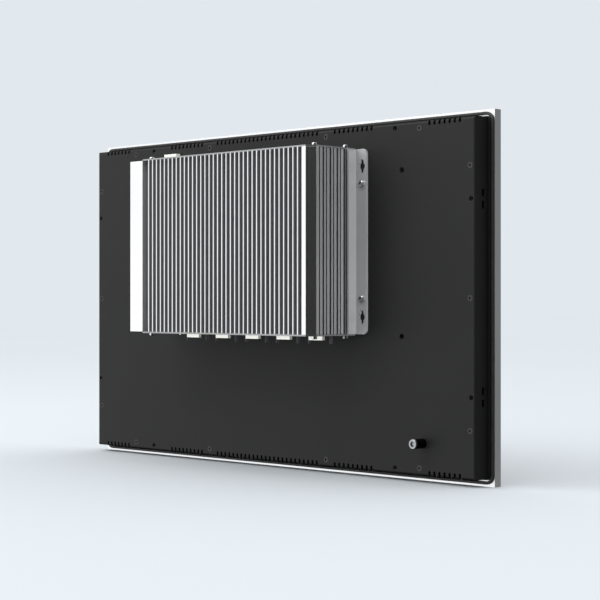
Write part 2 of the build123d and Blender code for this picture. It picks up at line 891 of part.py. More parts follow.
def small_board_feet():
    """Spacers under the boards behind the display."""
    feet = []
    for place, width, tall in display_boards():
        half_w, half_t = width / 2 - 4.0, tall / 2 - 4.0
        feet += [(place[0] + sx * half_w, place[1] + sz * half_t)
                 for sx in (1, -1) for sz in (1, -1)]
    return pegs(feet, 5.0, module_rear, module_rear + board_standoff)


def main():
    os.makedirs("parts", exist_ok=True)
    save("front_frame", front_frame())
    save("front_glass", front_glass())
    save("glass_tape", glass_tape())
    save("lcd_cell", lcd_cell())
    save("backlight_tray", backlight_tray())
    save("light_guide", light_guide())
    save("module_clamps", module_clamps())
    save("chassis_plate", chassis_plate())
    save("seal_gasket", seal_gasket())
    save("rear_housing", rear_housing())
    save("housing_spacers", housing_spacers())
    save("housing_screws", housing_screws())
    clamp_places = top_clamp_places() + side_clamp_places()
    save("clamp_nuts", press_nuts(clamp_places, clamp_nut_diameter, clamp_hole, clamp_nut_length))
    nut_places = insert_places() + bracket_screw_places()
    save("insert_nuts", press_nuts(nut_places, insert_diameter, insert_hole, insert_length))
    for name, (place, width, tall) in zip(("display_board", "driver_board"), display_boards()):
        save(name, small_board(place, width, tall))
    save("small_board_feet", small_board_feet())
    save("bonding_stud", bonding_stud())
    save("bonding_nut", bonding_nut())
    save("bonding_screw", bonding_screw())
    save("finned_cover", finned_cover())
    save("rail_caps", rail_caps())
    save("base_plate", base_plate())
    save("top_plate", end_plate(cover_top, []))
    save("bottom_plate", end_plate(plate_bottom, bottom_port_places()))
    save("plate_screws", plate_screws())
    ports = bottom_port_places()
    save("port_shells", Compound(children=[port_shell(across) for across in ports]))
    save("port_inserts", Compound(children=[port_insert(across) for across in ports]))
    save("jack_posts", jack_posts())
    save("link_socket", link_socket())
    save("link_lock", link_lock())
    save("right_bracket", bracket(1))
    save("left_bracket", bracket(-1))
    save("flange_screws", flange_screws())
    save("mainboard", mainboard())
    save("board_standoffs", board_standoffs())
    processor_place = (0.0, box_centre_up + processor_rise)
    save("processor", slab(chip_size, chip_size, board_rear, board_rear + chip_height,
                           processor_place))
    save("heat_block", heat_block(processor_place))
    save("memory_module", slab(memory_width, memory_length, board_rear, board_rear + memory_height,
                               (memory_across, box_centre_up - memory_drop)))
    save("drive", slab(drive_width, drive_length, cover_base, cover_base + drive_height,
                       (drive_across, box_centre_up)))


main()
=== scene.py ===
import math

import bmesh
import bpy
from bpy.props import FloatProperty, FloatVectorProperty, IntProperty, PointerProperty
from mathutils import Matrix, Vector


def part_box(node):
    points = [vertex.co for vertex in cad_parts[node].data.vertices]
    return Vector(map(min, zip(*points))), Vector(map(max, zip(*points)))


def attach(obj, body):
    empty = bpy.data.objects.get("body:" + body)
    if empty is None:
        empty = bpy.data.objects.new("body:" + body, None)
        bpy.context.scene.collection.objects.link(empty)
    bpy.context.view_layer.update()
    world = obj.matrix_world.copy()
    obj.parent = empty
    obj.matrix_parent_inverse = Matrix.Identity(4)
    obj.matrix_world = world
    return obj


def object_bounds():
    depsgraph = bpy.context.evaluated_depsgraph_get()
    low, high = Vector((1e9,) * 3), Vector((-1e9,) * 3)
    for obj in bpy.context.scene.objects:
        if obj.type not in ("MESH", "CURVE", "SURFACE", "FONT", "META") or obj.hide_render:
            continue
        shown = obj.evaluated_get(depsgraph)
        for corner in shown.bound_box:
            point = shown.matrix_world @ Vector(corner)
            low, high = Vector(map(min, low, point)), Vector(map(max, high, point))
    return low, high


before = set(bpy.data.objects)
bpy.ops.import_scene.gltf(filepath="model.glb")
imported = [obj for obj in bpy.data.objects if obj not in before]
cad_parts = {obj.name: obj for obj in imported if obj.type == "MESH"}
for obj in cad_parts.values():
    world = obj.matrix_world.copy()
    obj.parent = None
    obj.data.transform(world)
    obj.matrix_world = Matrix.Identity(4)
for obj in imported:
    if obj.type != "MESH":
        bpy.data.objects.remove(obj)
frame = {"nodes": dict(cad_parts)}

bl_info = {
    "name": "Panel computer",
    "version": (1, 0, 0),
    "blender": (4, 5, 0),
    "location": "3D View > Sidebar > Panel computer",
    "description": "Finishes and fine pieces of a panel computer seen from behind",
    "category": "Object",
}

MM = 0.001
CAD_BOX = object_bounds()

# Zinc plated pieces, seen through gaps only
SHEET_STEEL_NODES = ("module_clamps", "housing_spacers", "clamp_nuts", "insert_nuts",
                     "small_board_feet", "bonding_nut", "base_plate", "board_standoffs")

# Bright pieces that the side light reaches
BARE_METAL_NODES = ("finned_cover", "rail_caps", "top_plate", "bottom_plate", "right_bracket",
                    "left_bracket", "flange_screws", "plate_screws", "jack_posts",
                    "port_shells")

# Circuit boards
BOARD_NODES = ("display_board", "driver_board", "mainboard", "memory_module")

# Room light as metal mirrors it: the property with its strength, its direction, and the
# cosines where it starts and where it is full
ROOM_GLOWS = (("glow_left", (0.70, 0.71, 0.0), 0.5, 0.9),
              ("glow_right", (-0.70, -0.71, 0.0), 0.45, 0.9),
              ("glow_top", (0.0, 0.0, 1.0), 0.35, 0.95))

# Ray depth past which only a share of the room light is left
MIRRORED_TWICE = 2.5

# Lights: where each one stands, where it looks, and its width and height, in metres
KEY_LIGHT = ((1.2, 1.4, 1.5), (0.0, 0.0, 0.1), (1.4, 1.2))
TOP_LIGHT = ((0.1, 0.8, 1.0), (0.0, 0.0, 0.05), (0.9, 0.6))
SIDE_LIGHT = ((-1.5, -1.3, 0.0), (-0.12, 0.05, 0.05), (1.5, 1.7))

# Camera: width of its sensor in mm, and a shift of half a picture point
SENSOR_WIDTH = 36.0
HALF_POINT_SHIFT = -0.5 / 600.0

# Samples for rounded edges and for the shade painted into hollows
EDGE_SAMPLES = 8
HOLLOW_SAMPLES = 6

# Share of open space in front of a face that counts as closed in, and as open, for the shade
# painted into hollows
CLOSED_IN = 0.45
OPEN_FACE = 0.85

# Range of a noise that is spread over a finish
NOISE_LOW = 0.3
NOISE_HIGH = 0.7

# How much the die lines of drawn metal are stretched along it
DIE_STRETCH = 0.0005

# Spring of a port contact, root to mouth: stand off the wall and height over the mouth, in mm
SPRING_PROFILE = ((-0.05, 3.1), (0.06, 2.3), (0.18, 1.7), (0.30, 1.2), (0.30, 0.9), (0.16, 0.35))

# Contact pin, root to tip: share of its width and of its length
PIN_PROFILE = ((1.0, -0.05), (1.0, 0.8), (0.45, 1.0))

FLOOR_HALF_SIZE = 12.0


def colour_property(name, description, default):
    """Colour in linear light, shown as a swatch."""
    return FloatVectorProperty(name=name, description=description, default=default,
                               size=3, min=0.0, max=1.0, subtype="COLOR")


def share_property(name, description, default):
    """Share from none to all."""
    return FloatProperty(name=name, description=description, default=default,
                         min=0.0, max=1.0, subtype="FACTOR")


def length_property(name, description, millimetres):
    """Length kept in metres, as all of the scene is."""
    return FloatProperty(name=name, description=description, default=millimetres * MM,
                         min=0.0, precision=5, unit="LENGTH")


class CoatFinish(bpy.types.PropertyGroup):
    """Black powder coat of the sheet pieces and the moulded seal."""

    housing: colour_property("Housing coat", "Powder coat of the rear housing",
                             (0.0100, 0.0100, 0.0102))
    chassis: colour_property("Chassis coat", "Paint of the plate behind the frame",
                             (0.010, 0.010, 0.011))
    seal: colour_property("Seal", "Rubber of the seal bead", (0.016, 0.016, 0.016))
    fastener: colour_property("Black fastener", "Oxide on the stud", (0.012, 0.012, 0.012))
    flush_screw: colour_property("Flush screw", "Oxide on the flush screws",
                                 (0.055, 0.055, 0.055))
    roughness: share_property("Coat roughness", "Roughness of the powder coat", 0.5)
    chassis_roughness: share_property("Chassis roughness", "Roughness of the chassis paint",
                                      0.6)
    oxide_roughness: share_property("Oxide roughness", "Roughness of the stud's oxide", 0.45)
    flush_roughness: share_property("Flush screw roughness", "Roughness of the flush screws",
                                    0.4)
    peel: length_property("Orange peel", "Size of the grains in the powder coat", 0.45)
    edge: length_property("Edge rounding", "Rounding of the coated sheet's edges", 0.22)
    seal_edge: length_property("Seal rounding", "Rounding of the seal's edges", 0.05)


class MetalFinish(bpy.types.PropertyGroup):
    """Bare, anodised and plated metal."""

    frame: colour_property("Front frame", "Anodised aluminium of the front frame",
                           (0.80, 0.81, 0.82))
    cover: colour_property("Cover", "Anodised aluminium of the finned cover",
                           (0.80, 0.81, 0.82))
    # Painted shade: colour that the closed-in faces of the cover's grooves are darkened towards
    groove: colour_property("Groove", "Dull aluminium inside the grooves", (0.31, 0.315, 0.32))
    # Painted shade for the slits of the ribbed side wall
    slit_shade: colour_property("Slit", "Shaded metal inside the side wall's slits",
                          (0.08, 0.08, 0.083))
    end_plate: colour_property("End plate", "Aluminium of the end plates", (0.34, 0.345, 0.35))
    bracket: colour_property("Bracket", "Aluminium of the brackets", (0.50, 0.505, 0.51))
    bright: colour_property("Bright steel", "Plated steel of the screws", (0.78, 0.79, 0.80))
    dull: colour_property("Dull nickel", "Plate of the bonding screw",
                          (0.38, 0.395, 0.41))
    port: colour_property("Port shell", "Warm nickel of the port shells", (0.98, 0.97, 0.90))
    zinc: colour_property("Zinc", "Zinc plate of inner sheet pieces", (0.55, 0.57, 0.60))
    post: colour_property("Jack post", "Dull plate of the jack posts", (0.07, 0.07, 0.07))
    gold: colour_property("Contact", "Gilt of the port contacts", (0.86, 0.62, 0.27))
    cover_roughness: share_property("Cover roughness", "Roughness of the cover", 0.28)
    # Painted shade in the cover's grooves: bare metal left where it is darkest, and how far the
    # closed-in test reaches
    groove_metal: share_property("Groove metal", "Share of bare metal left in the grooves",
                                 0.55)
    groove_reach: length_property("Groove reach", "How far a groove's walls shade each other",
                                  12.0)
    frame_roughness: share_property("Frame roughness", "Roughness of the frame", 0.38)
    plate_roughness: share_property("End plate roughness", "Roughness of the end plates", 0.45)
    bracket_roughness: share_property("Bracket roughness", "Roughness of the brackets", 0.4)
    bracket_metal: share_property("Bracket metal", "Share of bare metal in the brackets", 0.6)
    case_roughness: share_property("Case roughness", "Roughness of the tray and drive", 0.35)
    bright_roughness: share_property("Screw roughness", "Roughness of the bright screws", 0.2)
    plated_roughness: share_property("Plated roughness",
                                     "Roughness of zinc, dull nickel and the heat block", 0.4)
    # Painted shade in the bonding screw's hollow: bare metal left there, and how far the
    # closed-in test reaches
    hollow_metal: share_property("Hollow metal", "Share of bare metal in the screw's hollow",
                                 0.3)
    hollow_reach: length_property("Hollow reach", "How far the hollow's walls shade each other",
                                  2.0)
    port_roughness: share_property("Port roughness", "Roughness of the port shells", 0.35)
    post_roughness: share_property("Post roughness", "Roughness of the jack posts", 0.6)
    post_metal: share_property("Post metal", "Share of bare metal in the jack posts", 0.3)
    gold_roughness: share_property("Contact roughness", "Roughness of the contacts", 0.28)
    draw_line: length_property("Draw lines", "Spacing of the lines left by the die", 0.5)
    edge: length_property("Edge rounding", "Rounding of the metal pieces' edges", 0.18)
    # Also where the painted slit shade ends
    ribbed_wall: length_property("Ribbed wall", "Depth of the ribbed side wall", 5.0)
    fin_edge: length_property("Fin rounding", "Rounding of the fins' tips and the ribs", 0.6)
    fastener_edge: length_property("Fastener rounding", "Rounding of the screws and the stud",
                                   0.12)
    port_edge: length_property("Port rounding", "Rounding of the port shells and inserts", 0.08)
    small_edge: length_property("Small rounding", "Rounding of inner pieces and posts", 0.1)
    contact_edge: length_property("Contact rounding", "Rounding of the contacts", 0.04)
    case_edge: length_property("Case rounding", "Rounding of the drive's case", 0.3)


class PlasticFinish(bpy.types.PropertyGroup):
    """Moulded plastic, boards and the glass front."""

    pale: colour_property("Pale plastic", "Moulding of the sockets", (0.88, 0.87, 0.80))
    insert: colour_property("Port insert", "Moulding inside the port shells", (0.70, 0.68, 0.60))
    mask: colour_property("Solder mask", "Lacquer of the boards", (0.010, 0.085, 0.035))
    guide: colour_property("Light guide", "Clear plate behind the display", (0.8, 0.82, 0.83))
    chip: colour_property("Chip", "Epoxy of the chips", (0.014, 0.014, 0.015))
    border: colour_property("Glass border", "Print behind the glass round the display",
                            (0.004, 0.004, 0.005))
    screen: colour_property("Dark display", "Display area while it is off",
                            (0.012, 0.013, 0.016))
    border_side: length_property("Side border", "Edge of the display at its sides", 7.9)
    border_top: length_property("Top border", "Edge of the display above and below", 10.4)
    glass_edge: length_property("Glass rounding", "Rounding of the glass", 0.05)
    display_roughness: share_property("Display roughness", "Roughness of the display", 0.2)
    guide_roughness: share_property("Guide roughness", "Roughness of the light guide", 0.08)
    insert_roughness: share_property("Insert roughness", "Roughness of the port inserts", 0.45)
    socket_roughness: share_property("Socket roughness", "Roughness of the top socket", 0.42)
    chip_roughness: share_property("Chip roughness", "Roughness of the chips", 0.35)
    moulding_edge: length_property("Moulding rounding", "Rounding of the socket and chips", 0.2)


class ContactSizes(bpy.types.PropertyGroup):
    """Springs in the port slots and pins in the top socket."""

    ports: IntProperty(name="Ports", description="Ports in the bottom end plate", default=5,
                       min=2)
    port_width: length_property("Port width", "Width of one port shell", 18.1)
    springs: IntProperty(name="Springs", description="Springs along one wall of a slot",
                         default=9, min=2)
    spring_pitch: length_property("Spring pitch", "Spacing of the springs", 1.5)
    spring_width: length_property("Spring width", "Width of one spring", 0.6)
    sheet: length_property("Spring sheet", "Thickness of the spring strip", 0.12)
    slot_height: length_property("Slot height", "Clear height of a port slot", 1.1)
    pins: IntProperty(name="Pins", description="Pins in the top socket", default=8, min=2)
    pin_pitch: length_property("Pin pitch", "Spacing of the pins", 1.5)
    pin_width: length_property("Pin width", "Side of one square pin", 0.6)
    recess: length_property("Recess", "Depth of the top socket's recess", 3.5)
    pin_drop: length_property("Pin drop", "How far the pins end below the socket's rim", 0.8)
    shroud: length_property("Shroud", "Depth of the top socket's pale part", 5.4)


class StudioSetup(bpy.types.PropertyGroup):
    """Camera, lights and floor."""

    eye_x: FloatProperty(name="Eye X", description="Camera place across", default=-1.15275,
                         unit="LENGTH")
    eye_y: FloatProperty(name="Eye Y", description="Camera place behind the panel",
                         default=1.1414, unit="LENGTH")
    eye_z: FloatProperty(name="Eye Z", description="Camera place in height", default=-0.00166,
                         unit="LENGTH")
    heading: FloatProperty(name="Heading", description="Turn of the view from straight ahead",
                           default=math.radians(44.5), subtype="ANGLE")
    lens: FloatProperty(name="Lens", description="Focal length for a 36 mm frame",
                        default=99.66, min=1.0, unit="CAMERA")
    backdrop: colour_property("Backdrop", "Room seen behind the object", (0.76, 0.81, 0.85))
    surround: FloatProperty(name="Surround", description="Least light that metal mirrors",
                            default=0.003, min=0.0)
    glow_left: FloatProperty(name="Left glow", description="Room light mirrored from the left",
                             default=1.3, min=0.0)
    glow_right: FloatProperty(name="Right glow", description="Room light mirrored from the right",
                              default=0.19, min=0.0)
    glow_top: FloatProperty(name="Top glow", description="Room light mirrored from overhead",
                            default=0.6, min=0.0)
    inner: share_property("Groove light", "Share of the room light left after two mirrorings",
                          0.5)
    key: FloatProperty(name="Key light", description="Power of the large light at the left",
                       default=12.0, min=0.0, unit="POWER")
    side: FloatProperty(name="Side light", description="Power of the light at the right",
                        default=17.0, min=0.0, unit="POWER")
    top: FloatProperty(name="Top light", description="Power of the light overhead",
                       default=8.0, min=0.0, unit="POWER")


def coat():
    return bpy.context.scene.panel_coat


def metal():
    return bpy.context.scene.panel_metal


def plastic():
    return bpy.context.scene.panel_plastic


def contacts():
    return bpy.context.scene.panel_contacts


def studio():
    return bpy.context.scene.panel_studio


def shader(name, colour, roughness, metallic=0.0):
    """New material with a plain principled shader. Returns the material, its tree and shader."""
    material = bpy.data.materials.new(name)
    material.use_nodes = True
    tree = material.node_tree
    body = tree.nodes["Principled BSDF"]
    body.inputs["Base Color"].default_value = (*colour, 1.0)
    body.inputs["Roughness"].default_value = roughness
    body.inputs["Metallic"].default_value = metallic
    material.diffuse_color = (*colour, 1.0)
    return material, tree, body


def object_coords(tree, scale=(1.0, 1.0, 1.0)):
    """Object coordinates in metres, scaled along each axis."""
    coords = tree.nodes.new("ShaderNodeTexCoord")
    mapping = tree.nodes.new("ShaderNodeMapping")
    mapping.inputs["Scale"].default_value = scale
    tree.links.new(coords.outputs["Object"], mapping.inputs["Vector"])
    return mapping.outputs["Vector"]


def noise(tree, vector, scale, detail=3.0, roughness=0.5):
    """Noise texture on the given coordinates."""
    node = tree.nodes.new("ShaderNodeTexNoise")
    node.inputs["Scale"].default_value = scale
    node.inputs["Detail"].default_value = detail
    node.inputs["Roughness"].default_value = roughness
    tree.links.new(vector, node.inputs["Vector"])
    return node.outputs["Fac"]


def spread(tree, value, low, high):
    """Remaps a noise to the given range."""
    node = tree.nodes.new("ShaderNodeMapRange")
    node.inputs["From Min"].default_value = NOISE_LOW
    node.inputs["From Max"].default_value = NOISE_HIGH
    node.inputs["To Min"].default_value = low
    node.inputs["To Max"].default_value = high
    tree.links.new(value, node.inputs["Value"])
    return node.outputs["Result"]


def tint(tree, body, value, colour, low, high):
    """Base colour that moves between a darker and a lighter shade."""
    ramp = tree.nodes.new("ShaderNodeValToRGB")
    ramp.color_ramp.elements[0].position = NOISE_LOW
    ramp.color_ramp.elements[0].color = (*(min(1.0, c * low) for c in colour), 1.0)
    ramp.color_ramp.elements[1].position = NOISE_HIGH
    ramp.color_ramp.elements[1].color = (*(min(1.0, c * high) for c in colour), 1.0)
    tree.links.new(value, ramp.inputs["Fac"])
    tree.links.new(ramp.outputs["Color"], body.inputs["Base Color"])


def relief(tree, body, value, height, strength=1.0):
    """Bump of the given height in metres."""
    bump = tree.nodes.new("ShaderNodeBump")
    bump.inputs["Distance"].default_value = height
    bump.inputs["Strength"].default_value = strength
    tree.links.new(value, bump.inputs["Height"])
    tree.links.new(bump.outputs["Normal"], body.inputs["Normal"])


def powder_coat(name, colour, roughness, grain, height=0.00002):
    """Baked powder coat: fine orange peel and faint clouding."""
    material, tree, body = shader(name, colour, roughness)
    body.inputs["Specular IOR Level"].default_value = 0.2
    vector = object_coords(tree)
    cloud = noise(tree, vector, scale=14.0, detail=2.0)
    tint(tree, body, cloud, colour, low=0.92, high=1.08)
    peel = noise(tree, vector, scale=1.0 / grain, detail=2.0, roughness=0.6)
    relief(tree, body, peel, height, strength=0.5)
    tree.links.new(spread(tree, peel, roughness - 0.05, roughness + 0.07),
                   body.inputs["Roughness"])
    return material


def drawn_metal(name, colour, roughness, spacing, along=2, metallic=1.0):
    """Extruded or rolled metal: fine lines along one axis, under an anodised skin."""
    material, tree, body = shader(name, colour, roughness, metallic)
    stretch = [1.0, 1.0, 1.0]
    stretch[along] = DIE_STRETCH
    lines = noise(tree, object_coords(tree, stretch), scale=1.0 / spacing, detail=4.0,
                  roughness=0.65)
    cloud = noise(tree, object_coords(tree), scale=9.0, detail=2.0)
    tint(tree, body, cloud, colour, low=0.95, high=1.04)
    relief(tree, body, lines, height=0.000004, strength=0.12)
    tree.links.new(spread(tree, lines, roughness - 0.05, roughness + 0.06),
                   body.inputs["Roughness"])
    return material


def plated_metal(name, colour, roughness, metallic=1.0):
    """Plated small part: even, with faint handling marks."""
    material, tree, body = shader(name, colour, roughness, metallic)
    marks = noise(tree, object_coords(tree), scale=900.0, detail=4.0, roughness=0.6)
    tint(tree, body, marks, colour, low=0.9, high=1.06)
    relief(tree, body, marks, height=0.000006, strength=0.4)
    tree.links.new(spread(tree, marks, roughness - 0.06, roughness + 0.08),
                   body.inputs["Roughness"])
    return material


def erode(tree, body, roughness):
    """Fine pitted surface that an eroded tool leaves on a moulding."""
    pits = noise(tree, object_coords(tree), scale=4000.0, detail=2.0)
    relief(tree, body, pits, height=0.000012, strength=0.5)
    tree.links.new(spread(tree, pits, roughness - 0.04, roughness + 0.06),
                   body.inputs["Roughness"])


def moulded_plastic(name, colour, roughness):
    """Moulding of one colour with an eroded surface."""
    material, tree, body = shader(name, colour, roughness)
    cloud = noise(tree, object_coords(tree), scale=60.0, detail=2.0)
    tint(tree, body, cloud, colour, low=0.94, high=1.05)
    erode(tree, body, roughness)
    return material


def moulded_rubber(name, colour):
    """Black rubber with a dull bloom."""
    material, tree, body = shader(name, colour, 0.55)
    vector = object_coords(tree)
    bloom = noise(tree, vector, scale=120.0, detail=3.0)
    tint(tree, body, bloom, colour, low=0.85, high=1.25)
    grain = noise(tree, vector, scale=2500.0, detail=2.0)
    relief(tree, body, grain, height=0.00001, strength=0.4)
    tree.links.new(spread(tree, bloom, low=0.48, high=0.62), body.inputs["Roughness"])
    return material


def circuit_board(name, colour):
    """Solder mask over copper tracks."""
    material, tree, body = shader(name, colour, 0.35)
    cells = tree.nodes.new("ShaderNodeTexVoronoi")
    cells.distance = "MANHATTAN"
    cells.inputs["Scale"].default_value = 260.0
    tree.links.new(object_coords(tree), cells.inputs["Vector"])
    tint(tree, body, cells.outputs["Distance"], colour, low=0.6, high=1.8)
    relief(tree, body, cells.outputs["Distance"], height=0.00003, strength=0.6)
    return material


def screen_glass(name, border, screen, half_width, half_height):
    """Cover glass: black print round a display that is off."""
    material, tree, body = shader(name, border, 0.06)
    body.inputs["Coat Weight"].default_value = 0.6
    body.inputs["Coat Roughness"].default_value = 0.03
    coords = tree.nodes.new("ShaderNodeTexCoord")
    parts = tree.nodes.new("ShaderNodeSeparateXYZ")
    tree.links.new(coords.outputs["Object"], parts.inputs["Vector"])
    inside = []
    for axis, half in (("X", half_width), ("Z", half_height)):
        size = tree.nodes.new("ShaderNodeMath")
        size.operation = "ABSOLUTE"
        tree.links.new(parts.outputs[axis], size.inputs[0])
        less = tree.nodes.new("ShaderNodeMath")
        less.operation = "LESS_THAN"
        less.inputs[1].default_value = half
        tree.links.new(size.outputs["Value"], less.inputs[0])
        inside.append(less.outputs["Value"])
    both = tree.nodes.new("ShaderNodeMath")
    both.operation = "MULTIPLY"
    tree.links.new(inside[0], both.inputs[0])
    tree.links.new(inside[1], both.inputs[1])
    ramp = tree.nodes.new("ShaderNodeValToRGB")
    ramp.color_ramp.elements[0].color = (*border, 1.0)
    ramp.color_ramp.elements[1].color = (*screen, 1.0)
    tree.links.new(both.outputs["Value"], ramp.inputs["Fac"])
    tree.links.new(ramp.outputs["Color"], body.inputs["Base Color"])
    haze = noise(tree, coords.outputs["Object"], scale=8.0, detail=2.0)
    tree.links.new(spread(tree, haze, low=0.04, high=0.09), body.inputs["Roughness"])
    return material


def colour_past(tree, axis, line, below, above):
    """One colour on the low side of a line along an axis and another past it."""
    parts = tree.nodes.new("ShaderNodeSeparateXYZ")
    tree.links.new(object_coords(tree), parts.inputs["Vector"])
    past = tree.nodes.new("ShaderNodeMath")
    past.operation = "GREATER_THAN"
    past.inputs[1].default_value = line
    tree.links.new(parts.outputs[axis], past.inputs[0])
    ramp = tree.nodes.new("ShaderNodeValToRGB")
    ramp.color_ramp.elements[0].color = (*below, 1.0)
    ramp.color_ramp.elements[1].color = (*above, 1.0)
    tree.links.new(past.outputs["Value"], ramp.inputs["Fac"])
    return ramp.outputs["Color"]


def two_shot(name, rear, front, line, roughness):
    """Moulding in two colours that meet at a given depth."""
    material, tree, body = shader(name, rear, roughness)
    tree.links.new(colour_past(tree, "Y", line, front, rear), body.inputs["Base Color"])
    erode(tree, body, roughness)
    return material


def floor_paint(name, colour):
    """Pale matte floor."""
    material, tree, body = shader(name, colour, 0.9)
    body.inputs["Specular IOR Level"].default_value = 0.0
    cloud = noise(tree, object_coords(tree), scale=1.3, detail=2.0)
    tint(tree, body, cloud, colour, low=0.99, high=1.0)
    return material


def paint_shade_in_hollows(material, colour, metallic, reach):
    """Painted shade: grooves and hollows are made darker and duller than the open faces, the more
    closed in they are.
    """
    tree = material.node_tree
    body = tree.nodes["Principled BSDF"]
    openness = tree.nodes.new("ShaderNodeAmbientOcclusion")
    openness.samples = HOLLOW_SAMPLES
    openness.inputs["Distance"].default_value = reach
    open_share = tree.nodes.new("ShaderNodeMapRange")
    open_share.inputs["From Min"].default_value = CLOSED_IN
    open_share.inputs["From Max"].default_value = OPEN_FACE
    tree.links.new(openness.outputs["AO"], open_share.inputs["Value"])
    shade_blend = tree.nodes.new("ShaderNodeMix")
    shade_blend.data_type = "RGBA"
    shade_blend.inputs["A"].default_value = (*colour, 1.0)
    tree.links.new(open_share.outputs["Result"], shade_blend.inputs["Factor"])
    tree.links.new(body.inputs["Base Color"].links[0].from_socket, shade_blend.inputs["B"])
    tree.links.new(shade_blend.outputs["Result"], body.inputs["Base Color"])
    sheen = tree.nodes.new("ShaderNodeMapRange")
    sheen.inputs["To Min"].default_value = metallic
    sheen.inputs["To Max"].default_value = body.inputs["Metallic"].default_value
    tree.links.new(open_share.outputs["Result"], sheen.inputs["Value"])
    tree.links.new(sheen.outputs["Result"], body.inputs["Metallic"])


def dress(nodes, material, edge=0.0):
    """Gives CAD nodes a finish, with edges that catch the light as if rounded."""
    if edge > 0.0:
        round_edges(material, edge)
    for name in nodes:
        node = frame["nodes"][name]
        node.data.materials.clear()
        node.data.materials.append(material)


def round_edges(material, radius):
    """Lets the shader see edges as rounded, under any bump it has."""
    tree = material.node_tree
    rounded = tree.nodes.new("ShaderNodeBevel")
    rounded.samples = EDGE_SAMPLES
    rounded.inputs["Radius"].default_value = radius
    bumps = [node for node in tree.nodes if node.type == "BUMP"]
    target = bumps[0] if bumps else tree.nodes["Principled BSDF"]
    tree.links.new(rounded.outputs["Normal"], target.inputs["Normal"])


def paint_shade_in_slits(material, groove, slit_shade, line):
    """Painted shade: hollows on the low side of a line across the object take the slits' darker
    shade colour.
    """
    tree = material.node_tree
    shade_blend = next(node for node in tree.nodes if node.type == "MIX")
    tree.links.new(colour_past(tree, "X", line, slit_shade, groove), shade_blend.inputs["A"])


class PANEL_OT_sheet(bpy.types.Operator):
    """Coat the rear housing and the chassis plate"""

    bl_idname = "panel.sheet"
    bl_label = "Coated sheet"

    def execute(self, context):
        finish = coat()
        dress(("rear_housing",),
              powder_coat("housing_coat", finish.housing, finish.roughness, finish.peel),
              finish.edge)
        dress(("chassis_plate",),
              powder_coat("chassis_coat", finish.chassis, finish.chassis_roughness,
                          finish.peel), finish.edge)
        return {"FINISHED"}


class PANEL_OT_seal(bpy.types.Operator):
    """Give the seal bead its rubber"""

    bl_idname = "panel.seal"
    bl_label = "Seal"

    def execute(self, context):
        dress(("seal_gasket",), moulded_rubber("seal_rubber", coat().seal), coat().seal_edge)
        dress(("glass_tape",), moulded_rubber("tape_foam", coat().chassis))
        return {"FINISHED"}


class PANEL_OT_front(bpy.types.Operator):
    """Finish the front frame, its glass and the display"""

    bl_idname = "panel.front"
    bl_label = "Front"

    def execute(self, context):
        finish = metal()
        glazing = plastic()
        dress(("front_frame",),
              drawn_metal("frame_anodised", finish.frame, finish.frame_roughness,
                          finish.draw_line, 0), finish.edge)
        low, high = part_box("lcd_cell")
        dress(("front_glass",),
              screen_glass("cover_glass", glazing.border, glazing.screen,
                           (high.x - low.x) / 2 - glazing.border_side,
                           (high.z - low.z) / 2 - glazing.border_top), glazing.glass_edge)
        dress(("lcd_cell",),
              moulded_plastic("display_glass", glazing.screen, glazing.display_roughness))
        dress(("light_guide",),
              moulded_plastic("guide_acrylic", glazing.guide, glazing.guide_roughness))
        dress(("backlight_tray",),
              drawn_metal("tray_steel", finish.zinc, finish.case_roughness,
                          finish.draw_line, 0), finish.edge)
        return {"FINISHED"}


class PANEL_OT_cover(bpy.types.Operator):
    """Finish the finned cover, its caps and its end plates"""

    bl_idname = "panel.cover"
    bl_label = "Finned cover"

    def execute(self, context):
        finish = metal()
        cover = drawn_metal("cover_anodised", finish.cover, finish.cover_roughness,
                            finish.draw_line, 2)
        # Painted shade: the cover's grooves darken by how closed in they are
        paint_shade_in_hollows(cover, finish.groove, finish.groove_metal, finish.groove_reach)
        # Painted shade: in the ribbed side wall's slits the darkened colour is darker still
        paint_shade_in_slits(cover, finish.groove, finish.slit_shade,
                     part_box("finned_cover")[0].x + finish.ribbed_wall)
        dress(("finned_cover", "rail_caps"), cover, finish.fin_edge)
        dress(("heat_block",),
              plated_metal("block_aluminium", finish.cover, finish.plated_roughness),
              finish.edge)
        plate = drawn_metal("end_plate_aluminium", finish.end_plate, finish.plate_roughness,
                            finish.draw_line, 0)
        dress(("top_plate", "bottom_plate"), plate, finish.edge)
        return {"FINISHED"}


class PANEL_OT_brackets(bpy.types.Operator):
    """Finish the two brackets"""

    bl_idname = "panel.brackets"
    bl_label = "Brackets"

    def execute(self, context):
        finish = metal()
        sheet = drawn_metal("bracket_aluminium", finish.bracket, finish.bracket_roughness,
                            finish.draw_line, 2, finish.bracket_metal)
        dress(("right_bracket", "left_bracket"), sheet, finish.edge)
        return {"FINISHED"}


class PANEL_OT_fasteners(bpy.types.Operator):
    """Finish the screws, nuts, spacers and the bonding stud"""

    bl_idname = "panel.fasteners"
    bl_label = "Fasteners"

    def execute(self, context):
        finish = metal()
        black = plated_metal("black_oxide", coat().fastener, coat().oxide_roughness)
        flush = plated_metal("flush_screw_oxide", coat().flush_screw, coat().flush_roughness)
        bright = plated_metal("bright_steel", finish.bright, finish.bright_roughness)
        dull = plated_metal("dull_nickel", finish.dull, finish.plated_roughness)
        # Painted shade: the screw's hollow is darkened towards the stud's black by how closed in
        # it is
        paint_shade_in_hollows(dull, coat().fastener, finish.hollow_metal, finish.hollow_reach)
        zinc = plated_metal("zinc_plate", finish.zinc, finish.plated_roughness)
        dress(("bonding_stud", "link_lock"), black, finish.fastener_edge)
        dress(("housing_screws",), flush, finish.fastener_edge)
        dress(("plate_screws", "flange_screws"), bright, finish.fastener_edge)
        dress(("bonding_screw",), dull, finish.fastener_edge)
        dress(SHEET_STEEL_NODES, zinc, finish.small_edge)
        return {"FINISHED"}


